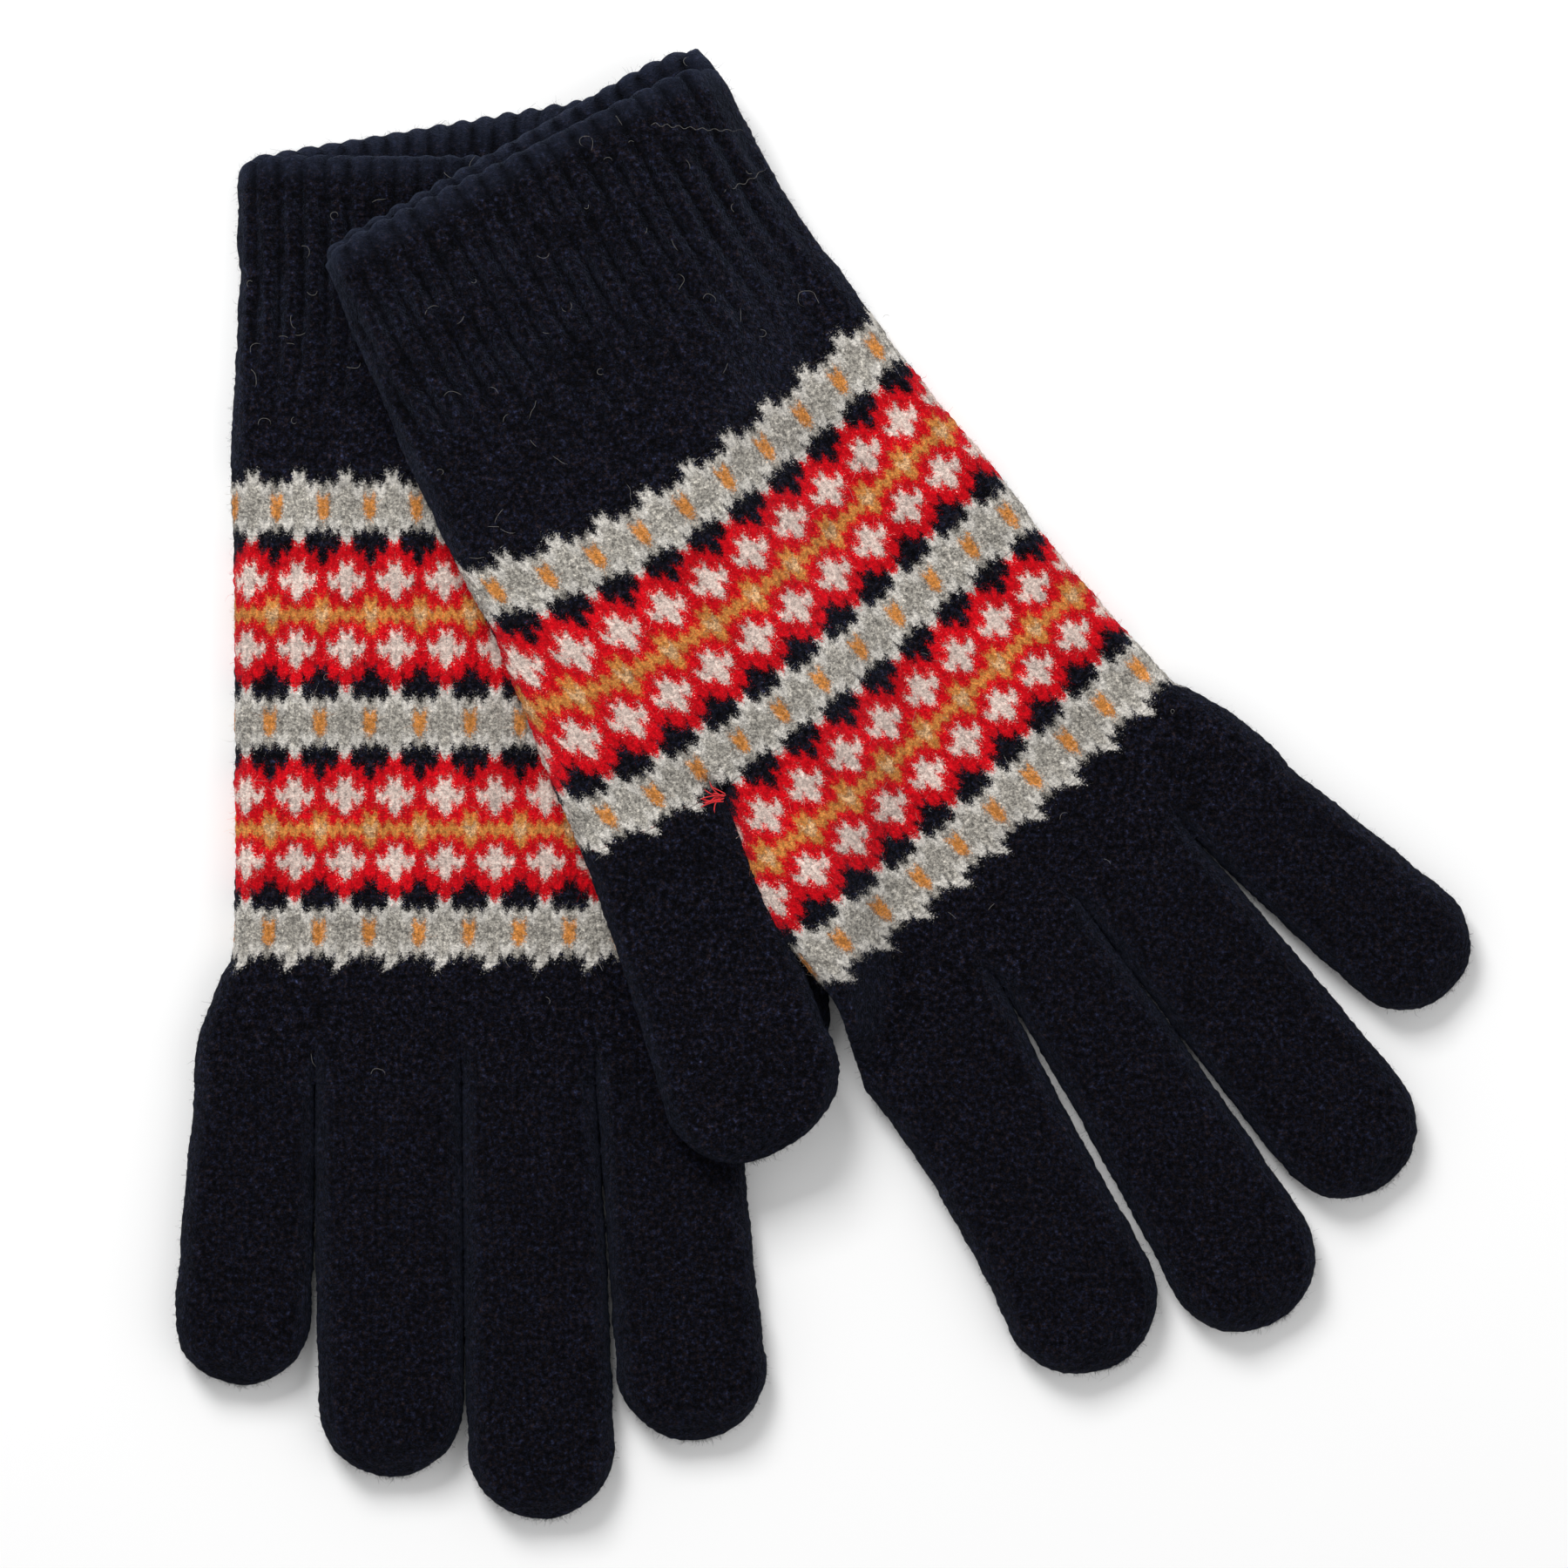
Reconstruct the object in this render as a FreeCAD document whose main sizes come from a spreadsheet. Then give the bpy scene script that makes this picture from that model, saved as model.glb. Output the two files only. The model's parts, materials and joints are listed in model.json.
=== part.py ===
import FreeCAD, Part
import math
import os

import Sketcher

# A pair of knitted gloves laid out flat, backs up. The right glove lies on the table with its
# fingers towards -Y. The left glove lies across it, turned about Z, and slopes down at the
# knuckles so that its fingers rest on the table too. Every knitted section is a flattened tube
# of fabric: cuff, five colour bands of the hand, knuckles, thumb and fingers.
# Each glove has its own frame: x runs across the hand, y runs from the finger roots (y = 0)
# to the cuff, and z is up from the table.

os.makedirs("parts", exist_ok=True)
doc = FreeCAD.newDocument("knitted_gloves")

# ---- driving sizes, in millimetres and degrees ----

general = {
    "thick": 8.6,           # outside thickness of a glove lying flat
    "thumbThick": 8.5,
    "wall": 2.1,            # knitted fabric, felted
    "seamGap": 0.4,         # between sections that hinge on each other
    "layerGap": 0.4,        # between the two gloves
    "mouthThick": 11.0,     # the upper glove's cuff stands open
    "indexShift": 2.4,      # the right index starts this much nearer the hand's middle
    "rowOriginX": 0.12,     # middle of the pair, seen from above
    "rowOriginY": -1.62,
}

placing = {
    "right": {"PlaceX": -64.9, "PlaceY": -54.1, "Turn": 0.0},
    "left": {"PlaceX": 46.6, "PlaceY": -25.8, "Turn": 37.7},
}

# A course line runs across the glove: along = distance from the finger roots,
# side = its middle's sideways shift, wide = its length, skew = its angle.
courseLines = {
    "right": {
        "Mouth": (168.2, -2.5, 78.9, 0.0),
        "Wrist": (112.4, -0.2, 86.3, 0.0),
        "GreyOne": (100.0, 1.6, 89.0, 0.0),
        "RedOne": (73.1, 5.4, 96.0, 0.0),
        "Fork": (60.7, 9.0, 103.3, 0.0),
        "HandFork": (60.7, -2.4, 80.4, 0.0),
        "RedTwo": (33.9, -0.3, 84.6, 0.0),
        "GreyTwo": (21.5, -0.4, 85.7, 0.0),
        "Roots": (0.0, 0.0, 99.4, 0.0),
    },
    "left": {
        "Mouth": (172.5, 4.7, 79.6, -11.1),
        "Wrist": (117.5, -4.7, 88.2, -5.7),
        "GreyOne": (104.9, -6.0, 90.0, -5.6),
        "RedOne": (75.7, -10.1, 99.4, -2.4),
        "Fork": (63.0, -11.9, 102.3, -2.4),
        "HandFork": (62.4, 1.7, 75.3, -2.4),
        "RedTwo": (34.1, -1.6, 84.2, 1.7),
        "GreyTwo": (21.0, -0.6, 84.6, 2.0),
        "Roots": (0.0, 0.0, 97.2, 0.0),
    },
}

# A digit starts on a root line and ends in a round tip: rootAlong and rootSide place the
# middle of its root in the glove's frame, rootWide is the root's width, tipSide and tipReach
# place the middle of the tip's circle from there, and tipRadius is that circle's radius.
digits = {
    "right": {
        "Little": (0.0, -38.9, 21.4, -2.3, 42.5, 12.3),
        "Ring": (0.0, -14.5, 26.4, 0.5, 58.5, 13.1),
        "Middle": (0.0, 11.3, 24.2, 2.1, 66.1, 13.3),
        "Index": (-24.9, 39.1, 26.6, 1.8, 26.3, 13.7),
        "Thumb": (60.3, 49.4, 21.6, 7.4, 47.4, 9.6),
    },
    "left": {
        "Little": (0.0, 38.1, 20.8, 7.7, 38.3, 12.1),
        "Ring": (0.0, 15.3, 23.2, 1.4, 57.9, 13.3),
        "Middle": (0.0, -6.8, 20.2, -6.2, 65.2, 13.8),
        "Index": (0.0, -33.0, 31.0, -7.7, 52.9, 14.4),
        "Thumb": (64.3, -50.5, 24.8, -14.6, 49.4, 13.3),
    },
}
indexBase = (26.6, 26.6)   # width of the right index section at its root and at its joint

lineFields = ("Along", "Side", "Wide", "Skew")
digitFields = ("RootAlong", "RootSide", "RootWide", "TipSide", "TipReach", "TipRadius")


def sheetOfSizes():
    """Every driving size in one spreadsheet, each cell with an alias of its own."""
    values = dict(general)
    for glove in placing:
        for field, value in placing[glove].items():
            values[glove + field] = value
        for line, numbers in courseLines[glove].items():
            for field, value in zip(lineFields, numbers):
                values[glove + line + field] = value
        for digit, numbers in digits[glove].items():
            for field, value in zip(digitFields, numbers):
                values[glove + digit + field] = value
    values["indexRootWide"], values["indexJointWide"] = indexBase
    sheet = doc.addObject("Spreadsheet::Sheet", "sizes")
    for row, (alias, value) in enumerate(values.items(), start=1):
        sheet.set(f"A{row}", alias)
        sheet.set(f"B{row}", str(value))
        sheet.setAlias(f"B{row}", alias)
    doc.recompute()
    return sheet


sizes = sheetOfSizes()


def newBody(label, glove):
    """A body in its glove's frame."""
    body = doc.addObject("PartDesign::Body", label)
    body.Label = label
    body.Placement.Rotation = FreeCAD.Rotation(FreeCAD.Vector(0, 0, 1), 1)
    body.setExpression("Placement.Base.x", f"sizes.{glove}PlaceX - sizes.rowOriginX")
    body.setExpression("Placement.Base.y", f"sizes.{glove}PlaceY - sizes.rowOriginY")
    body.setExpression("Placement.Rotation.Angle", f"sizes.{glove}Turn * 1 deg")
    return body


def planeOf(body, role):
    return next(plane for plane in body.Origin.OriginFeatures if plane.Role == role)


def newSketch(body, name, role):
    sketch = body.newObject("Sketcher::SketchObject", name)
    sketch.AttachmentSupport = (planeOf(body, role), [""])
    sketch.MapMode = "FlatFace"
    return sketch


def value(expression):
    """The number that an expression of sheet aliases gives."""
    return float(sizes.evalExpression(expression.replace("sizes.", "")))


def sectionSketch(body, name, along, side, wide, skew, middleZ, thick):
    """A flattened tube's outline, two lines and two half circles, on an upright plane."""
    sketch = newSketch(body, name, "XZ_Plane")
    sketch.AttachmentOffset.Rotation = FreeCAD.Rotation(FreeCAD.Vector(0, 1, 0), 1)
    sketch.setExpression("AttachmentOffset.Base.x", side)
    sketch.setExpression("AttachmentOffset.Base.y", middleZ)
    sketch.setExpression("AttachmentOffset.Base.z", f"-1 * ({along})")
    sketch.setExpression("AttachmentOffset.Rotation.Angle", f"({skew}) * 1 deg")
    radius = value(thick) / 2
    half = value(wide) / 2 - radius
    point = FreeCAD.Vector
    up = point(0, 0, 1)
    sketch.addGeometry(
        [
            Part.LineSegment(point(-half, radius, 0), point(half, radius, 0)),
            Part.ArcOfCircle(Part.Circle(point(half, 0, 0), up, radius), -math.pi / 2, math.pi / 2),
            Part.LineSegment(point(half, -radius, 0), point(-half, -radius, 0)),
            Part.ArcOfCircle(Part.Circle(point(-half, 0, 0), up, radius), math.pi / 2, 1.5 * math.pi),
        ],
        False,
    )
    top, rightEnd, bottom, leftEnd = range(4)
    sketch.addConstraint(
        [
            Sketcher.Constraint("Tangent", top, 2, rightEnd, 2),
            Sketcher.Constraint("Tangent", rightEnd, 1, bottom, 1),
            Sketcher.Constraint("Tangent", bottom, 2, leftEnd, 2),
            Sketcher.Constraint("Tangent", leftEnd, 1, top, 1),
            Sketcher.Constraint("Symmetric", leftEnd, 3, rightEnd, 3, -1, 1),
            Sketcher.Constraint("PointOnObject", rightEnd, 3, -1),
            Sketcher.Constraint("Radius", rightEnd, radius),
            Sketcher.Constraint("DistanceX", leftEnd, 3, rightEnd, 3, 2 * half),
        ]
    )
    sketch.setExpression("Constraints[6]", f"({thick}) / 2")
    sketch.setExpression("Constraints[7]", f"({wide}) - ({thick})")
    return sketch


def tubeSection(label, glove, start, end):
    """A knitted tube between two course lines, open at both ends."""
    body = newBody(label, glove)
    outline = [sectionSketch(body, f"{label}_outside_{i}", **edge) for i, edge in enumerate((start, end))]
    outside = body.newObject("PartDesign::AdditiveLoft", f"{label}_fabric")
    outside.Profile = outline[0]
    outside.Sections = [outline[1]]
    outside.Ruled = True
    doc.recompute()
    hollow = []
    for i, edge in enumerate((start, end)):
        inner = dict(edge)
        inner["wide"] = f"{edge['wide']} - 2 * sizes.wall"
        inner["thick"] = f"{edge['thick']} - 2 * sizes.wall"
        hollow.append(sectionSketch(body, f"{label}_inside_{i}", **inner))
    inside = body.newObject("PartDesign::SubtractiveLoft", f"{label}_hollow")
    inside.Profile = hollow[0]
    inside.Sections = [hollow[1]]
    inside.Ruled = True
    return body


def courseEdge(glove, line, lift, thick="sizes.thick", shorten="0"):
    """One end of a tube section: a course line, moved by shorten along the glove."""
    alias = f"sizes.{glove}{line}"
    return {
        "along": f"{alias}Along + {shorten}",
        "side": f"{alias}Side",
        "wide": f"{alias}Wide",
        "skew": f"{alias}Skew",
        "middleZ": f"{lift} + {thick} / 2",
        "thick": thick,
    }


def tangentPoint(start, centre, radius, turn):
    """Where a line from start touches the circle; turn is +1 or -1 for the two sides."""
    away = centre - start
    distance = away.Length
    bend = math.asin(radius / distance)
    reach = math.sqrt(distance ** 2 - radius ** 2)
    angle = math.atan2(away.y, away.x) + turn * bend
    return FreeCAD.Vector(start.x + reach * math.cos(angle), start.y + reach * math.sin(angle), 0)


def digit(label, glove, name, lift, thick="sizes.thick", skew="0"):
    """A finger or thumb: a closed pad with rounded edges, hollowed from its root."""
    body = newBody(label, glove)
    alias = f"sizes.{glove}{name}"
    sketch = newSketch(body, f"{label}_outline", "XY_Plane")
    sketch.AttachmentOffset.Rotation = FreeCAD.Rotation(FreeCAD.Vector(0, 0, 1), 1)
    sketch.setExpression("AttachmentOffset.Base.x", f"{alias}RootSide")
    sketch.setExpression("AttachmentOffset.Base.y", f"{alias}RootAlong - sizes.seamGap")
    sketch.setExpression("AttachmentOffset.Base.z", lift)
    sketch.setExpression("AttachmentOffset.Rotation.Angle", f"({skew}) * 1 deg")
    half = value(f"{alias}RootWide") / 2
    radius = value(f"{alias}TipRadius")
    leftRoot, rightRoot = FreeCAD.Vector(-half, 0, 0), FreeCAD.Vector(half, 0, 0)
    centre = FreeCAD.Vector(value(f"{alias}TipSide"), -value(f"{alias}TipReach"), 0)
    leftTouch = tangentPoint(leftRoot, centre, radius, -1)
    rightTouch = tangentPoint(rightRoot, centre, radius, 1)
    first = math.atan2(leftTouch.y - centre.y, leftTouch.x - centre.x)
    last = math.atan2(rightTouch.y - centre.y, rightTouch.x - centre.x)
    circle = Part.Circle(centre, FreeCAD.Vector(0, 0, 1), radius)
    sketch.addGeometry(
        [
            Part.LineSegment(rightRoot, leftRoot),
            Part.LineSegment(leftRoot, leftTouch),
            Part.ArcOfCircle(circle, first, last if last > first else last + 2 * math.pi),
            Part.LineSegment(rightTouch, rightRoot),
        ],
        False,
    )
    root, leftSide, tip, rightSide = range(4)
    sketch.addConstraint(
        [
            Sketcher.Constraint("Coincident", root, 2, leftSide, 1),
            Sketcher.Constraint("Tangent", leftSide, 2, tip, 1),
            Sketcher.Constraint("Tangent", tip, 2, rightSide, 1),
            Sketcher.Constraint("Coincident", rightSide, 2, root, 1),
            Sketcher.Constraint("Symmetric", root, 1, root, 2, -1, 1),
            Sketcher.Constraint("PointOnObject", root, 1, -1),
            Sketcher.Constraint("DistanceX", root, 2, root, 1, 2 * half),
            Sketcher.Constraint("DistanceX", -1, 1, tip, 3, centre.x),
            Sketcher.Constraint("DistanceY", tip, 3, -1, 1, -centre.y),
            Sketcher.Constraint("Radius", tip, radius),
        ]
    )
    bindings = ("RootWide", "TipSide", "TipReach", "TipRadius")
    for index, field in enumerate(bindings, start=6):
        sketch.setExpression(f"Constraints[{index}]", alias + field)
    pad = body.newObject("PartDesign::Pad", f"{label}_pad")
    pad.Profile = sketch
    pad.setExpression("Length", thick)
    doc.recompute()

    fillet = body.newObject("PartDesign::Fillet", f"{label}_edges")
    fillet.Base = (pad, rimEdges(pad.Shape, sketch.AttachmentOffset))
    fillet.setExpression("Radius", f"0.46 * {thick}")
    doc.recompute()

    hollow = body.newObject("PartDesign::Thickness", f"{label}_hollow")
    hollow.Base = (fillet, [rootFace(fillet.Shape, sketch.AttachmentOffset)])
    hollow.setExpression("Value", "sizes.wall")
    hollow.Reversed = True
    return body


def rimEdges(shape, frame):
    """The level edges of a pad, apart from those on its root face."""
    back = frame.inverse()
    names = []
    for number, edge in enumerate(shape.Edges, start=1):
        ends = [back.multVec(vertex.Point) for vertex in edge.Vertexes]
        level = abs(ends[0].z - ends[-1].z) < 1e-6
        onRoot = all(abs(end.y) < 1e-6 for end in ends)
        if level and not onRoot:
            names.append(f"Edge{number}")
    return names


def rootFace(shape, frame):
    back = frame.inverse()
    for number, face in enumerate(shape.Faces, start=1):
        points = [back.multVec(vertex.Point) for vertex in face.Vertexes]
        if all(abs(point.y) < 1e-6 for point in points):
            return f"Face{number}"
    raise ValueError("no root face")


bands = (
    ("lower_grey_band", "Wrist", "GreyOne"),
    ("lower_red_band", "GreyOne", "RedOne"),
    ("middle_grey_band", "RedOne", "Fork"),
    ("upper_red_band", "HandFork", "RedTwo"),
    ("upper_grey_band", "RedTwo", "GreyTwo"),
)

rise = "sizes.thick + sizes.layerGap"   # height of the upper glove over the table
pieces = []


def rightGlove():
    flat = (("cuff", "Mouth", "Wrist"), *bands, ("knuckles", "GreyTwo", "Roots"))
    for name, start, end in flat:
        ends = courseEdge("right", start, "0"), courseEdge("right", end, "0")
        pieces.append(tubeSection(f"right_{name}", "right", *ends))
    for name in ("Little", "Ring", "Middle"):
        pieces.append(digit(f"right_{name.lower()}_finger", "right", name, "0"))
    middleZ = "sizes.thick / 2"
    side = "sizes.rightIndexRootSide - sizes.indexShift"
    baseEnds = [
        {"along": "0", "side": side, "wide": "sizes.indexRootWide",
         "skew": "0", "middleZ": middleZ, "thick": "sizes.thick"},
        {"along": "sizes.rightIndexRootAlong", "side": "sizes.rightIndexRootSide",
         "wide": "sizes.indexJointWide", "skew": "0", "middleZ": middleZ, "thick": "sizes.thick"},
    ]
    pieces.append(tubeSection("right_index_base", "right", *baseEnds))
    pieces.append(digit("right_index_end", "right", "Index", "0"))
    pieces.append(digit("right_thumb", "right", "Thumb", "0", "sizes.thumbThick"))


def leftGlove():
    mouth = courseEdge("left", "Mouth", rise, "sizes.mouthThick")
    wrist = courseEdge("left", "Wrist", rise, shorten="sizes.seamGap")
    pieces.append(tubeSection("left_cuff", "left", mouth, wrist))
    for name, start, end in bands:
        ends = courseEdge("left", start, rise), courseEdge("left", end, rise)
        pieces.append(tubeSection(f"left_{name}", "left", *ends))
    knuckleEnds = courseEdge("left", "GreyTwo", rise), courseEdge("left", "Roots", "0")
    pieces.append(tubeSection("left_knuckles", "left", *knuckleEnds))
    for name in ("Index", "Middle", "Ring", "Little"):
        pieces.append(digit(f"left_{name.lower()}_finger", "left", name, "0"))
    pieces.append(digit("left_thumb", "left", "Thumb", rise, "sizes.thumbThick", "sizes.leftForkSkew"))


def checkAndExport():
    doc.recompute()
    for item in doc.Objects:
        if "Invalid" in item.State or "Error" in item.State:
            raise RuntimeError(f"{item.Label} failed: {item.State}")
    for piece in pieces:
        shape = piece.Shape
        if shape.isNull() or not shape.isValid() or len(shape.Solids) != 1:
            raise RuntimeError(f"{piece.Label} has no valid single solid")
        print(f"{piece.Label}: {shape.Volume / 1000:.2f} cm3")
        shape.exportStep(f"parts/{piece.Label}.step")


rightGlove()
leftGlove()
checkAndExport()
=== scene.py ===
import json
import math

import bpy
import numpy as np
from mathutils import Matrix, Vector
from mathutils.geometry import convex_hull_2d


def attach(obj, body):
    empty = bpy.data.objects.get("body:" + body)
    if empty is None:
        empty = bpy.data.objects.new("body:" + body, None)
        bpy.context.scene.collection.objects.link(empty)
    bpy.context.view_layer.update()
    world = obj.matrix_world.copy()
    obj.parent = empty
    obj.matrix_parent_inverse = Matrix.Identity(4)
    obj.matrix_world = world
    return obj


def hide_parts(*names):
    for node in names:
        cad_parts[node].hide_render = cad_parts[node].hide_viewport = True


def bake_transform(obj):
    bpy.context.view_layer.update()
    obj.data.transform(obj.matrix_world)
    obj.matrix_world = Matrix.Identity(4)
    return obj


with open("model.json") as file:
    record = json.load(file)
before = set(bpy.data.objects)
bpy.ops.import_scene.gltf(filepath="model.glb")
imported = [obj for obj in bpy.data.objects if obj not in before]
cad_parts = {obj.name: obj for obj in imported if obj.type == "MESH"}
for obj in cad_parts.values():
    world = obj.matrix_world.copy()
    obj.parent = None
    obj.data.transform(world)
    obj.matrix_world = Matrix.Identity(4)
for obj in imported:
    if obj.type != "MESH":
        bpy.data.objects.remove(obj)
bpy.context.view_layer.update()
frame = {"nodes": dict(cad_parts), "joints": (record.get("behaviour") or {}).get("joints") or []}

# A pair of felted wool gloves, knitted in rounds. Shapes are worked out in millimetres.
mm = 0.001
joints = {joint["name"]: joint for joint in frame["joints"]}

knit = {
    "stitch": 2.286,           # width of one stitch
    "rowHeight": 2.07,
    "perStitch": 6,            # mesh columns in a stitch
    "perRow": 5,               # mesh rings in a row of knitting
    "wall": 1.9,               # thickness of the fabric
    "flatSide": 0.15,          # how much of half a tube's side is straight, between its round corners
    "vee": 0.72,               # how far a stitch's point runs ahead of its sides, in rows
    "rows": {"cuff": 27, "lower_grey_band": 6, "lower_red_band": 13, "middle_grey_band": 6,
             "upper_red_band": 13, "upper_grey_band": 6, "knuckles": 10},
}

# ---- reading the frame ----


def gloveAxes(glove):
    # the root line of the fingers gives each glove its own axes: x across, y towards the cuff
    joint = joints[f"{glove}_little_bend"]
    across = -np.array(joint["axis"][:2])
    return np.array(joint["pos_m"][:2]) / mm, across, np.array([-across[1], across[0]])


axesOf = {glove: gloveAxes(glove) for glove in ("left", "right")}


def toGlove(glove, points):
    origin, across, along = axesOf[glove]
    away = points - origin
    return np.stack([away @ across, away @ along], -1)


def toRow(glove, points):
    origin, across, along = axesOf[glove]
    return origin + points[..., :1] * across + points[..., 1:2] * along


def planOf(glove, node):
    mesh = frame["nodes"][f"{glove}_{node}"].data
    co = np.empty(len(mesh.vertices) * 3)
    mesh.vertices.foreach_get("co", co)
    return toGlove(glove, co.reshape(-1, 3)[:, :2] / mm)


def endOfTube(glove, node, cuffEnd):
    # the two ends of a course line: the little finger's side first, then the thumb's
    plan = planOf(glove, node)
    lean = 3.0 if cuffEnd else -3.0
    left = plan[np.argmax(-plan[:, 0] + lean * plan[:, 1])]
    right = plan[np.argmax(plan[:, 0] + lean * plan[:, 1])]
    return (left, right) if glove == "right" else (right, left)


def rootEnds(glove, node):
    # the two corners of a finger's or thumb's open end, by their place across the hand
    plan = planOf(glove, node)
    top = plan[plan[:, 1] > plan[:, 1].max() - 1.5]
    return top[np.argmin(top[:, 0])], top[np.argmax(top[:, 0])]


def tipCircle(glove, node):
    # centre and radius of a tip, by least squares on its outline
    plan = planOf(glove, node)
    hull = plan[convex_hull_2d([tuple(p) for p in plan])]
    low = hull[hull[:, 1] < hull[:, 1].min() + 6.0]
    fit = np.linalg.lstsq(np.c_[2 * low, np.ones(len(low))], (low ** 2).sum(1), rcond=None)[0]
    return fit[:2], math.sqrt(fit[2] + fit[:2] @ fit[:2])


def crotches(glove):
    # the points where neighbouring fingers part, across the hand in order
    names = ["little_finger", "ring_finger", "middle_finger"]
    names.append("index_base" if glove == "right" else "index_finger")
    ends = sorted((rootEnds(glove, name) for name in names), key=lambda pair: pair[0][0])
    level = endOfTube(glove, "knuckles", False)[0][1]
    return [np.array([(a[1][0] + b[0][0]) / 2, level]) for a, b in zip(ends, ends[1:])]


# ---- surfaces ----


def ease(t):
    t = np.clip(t, 0.0, 1.0)
    return t * t * (3 - 2 * t)


def smoothThrough(stations, points, at):
    # cubic curve through the points, its slope at each the slope between its neighbours
    stations, points = np.array(stations, float), np.array(points, float)
    slopes = np.gradient(points, stations, axis=0)
    k = np.clip(np.searchsorted(stations, at, side="right") - 1, 0, len(stations) - 2)
    span = stations[k + 1] - stations[k]
    t = ((at - stations[k]) / span)[:, None]
    span = span[:, None]
    return ((2 * t ** 3 - 3 * t ** 2 + 1) * points[k] + (t ** 3 - 2 * t ** 2 + t) * span * slopes[k]
            + (3 * t ** 2 - 2 * t ** 3) * points[k + 1] + (t ** 3 - t ** 2) * span * slopes[k + 1])


def waves(points, length, seed):
    # smooth lumps: a sum of sine waves in seeded directions, about -1 to 1
    rng = np.random.default_rng(seed)
    total = np.zeros(points.shape[:-1])
    for _ in range(9):
        direction = rng.normal(size=3)
        direction *= 2 * math.pi / (length * rng.uniform(0.7, 1.5)) / np.linalg.norm(direction)
        total += np.sin(points @ direction + rng.uniform(0, 2 * math.pi))
    return total / 3.2


def tubeRings(little, thumb, half, corner, columns):
    # A flattened tube: each ring is a rounded rectangle with its long side from the little
    # finger's edge to the thumb's. q runs round it by arc length, 0 at the little finger's
    # edge, 0.25 in the middle of the back and 0.5 at the thumb's edge, where the seam is.
    q = np.linspace(-0.5, 0.5, columns + 1)[None, :-1]
    wide = np.linalg.norm(thumb - little, axis=1)[:, None] / 2
    half, corner = half[:, None], np.minimum(corner[:, None], wide * 0.98)
    side, arc = half - corner, corner * math.pi / 2
    round_ = 4 * (side + arc + wide - corner)
    turn = q % 1.0
    quarter = np.where(turn < 0.25, turn, np.where(turn < 0.75, np.abs(0.5 - turn), 1 - turn))
    d = quarter * round_
    bend = np.clip((d - side) / np.maximum(corner, 1e-6), 0, math.pi / 2)
    x = np.where(d < side, wide, np.where(d < side + arc, wide - corner + corner * np.cos(bend),
                                          wide - (d - side - arc) - corner))
    z = np.where(d < side, d, np.where(d < side + arc, side + corner * np.sin(bend), half))
    x = np.where((turn > 0.25) & (turn < 0.75), x, -x)
    z = np.where(turn < 0.5, z, -z)
    middle, reach = (little + thumb) / 2, (thumb - little) / 2
    s = x / wide
    plan = middle[:, None, :] + s[..., None] * reach[:, None, :]
    return plan, z, s, q * round_ / knit["stitch"]


def unit(vectors):
    return vectors / np.maximum(np.linalg.norm(vectors, axis=-1, keepdims=True), 1e-9)


def normalsOf(points, glove):
    across = np.roll(points, -1, 1) - np.roll(points, 1, 1)
    along = np.gradient(points, axis=0)
    return unit(np.cross(across, along) * (1 if glove == "left" else -1))


def stitchHeight(u, v):
    # each stitch is a V of two plump legs: high along the legs, low between stitches
    share = u % 1.0
    lead = knit["vee"] * (1 - np.abs(2 * share - 1))
    legs = np.abs(np.sin(2 * math.pi * share)) ** 0.6
    loops = np.abs(np.sin(math.pi * ((v - lead) % 1.0))) ** 0.6
    return legs * (0.3 + 0.7 * loops)


def linked(name, data):
    thing = bpy.data.objects.new(name, data)
    bpy.context.scene.collection.objects.link(thing)
    return thing


def meshFrom(name, verts, loops, starts, totals, loopUv):
    mesh = bpy.data.meshes.new(name)
    mesh.vertices.add(len(verts))
    mesh.vertices.foreach_set("co", (verts * mm).astype(np.float32).ravel())
    mesh.loops.add(len(loops))
    mesh.loops.foreach_set("vertex_index", loops.astype(np.int32))
    mesh.polygons.add(len(starts))
    mesh.polygons.foreach_set("loop_start", starts.astype(np.int32))
    mesh.polygons.foreach_set("loop_total", totals.astype(np.int32))
    layer = mesh.uv_layers.new(name="knit")
    layer.data.foreach_set("uv", loopUv.astype(np.float32).ravel())
    return mesh


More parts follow.
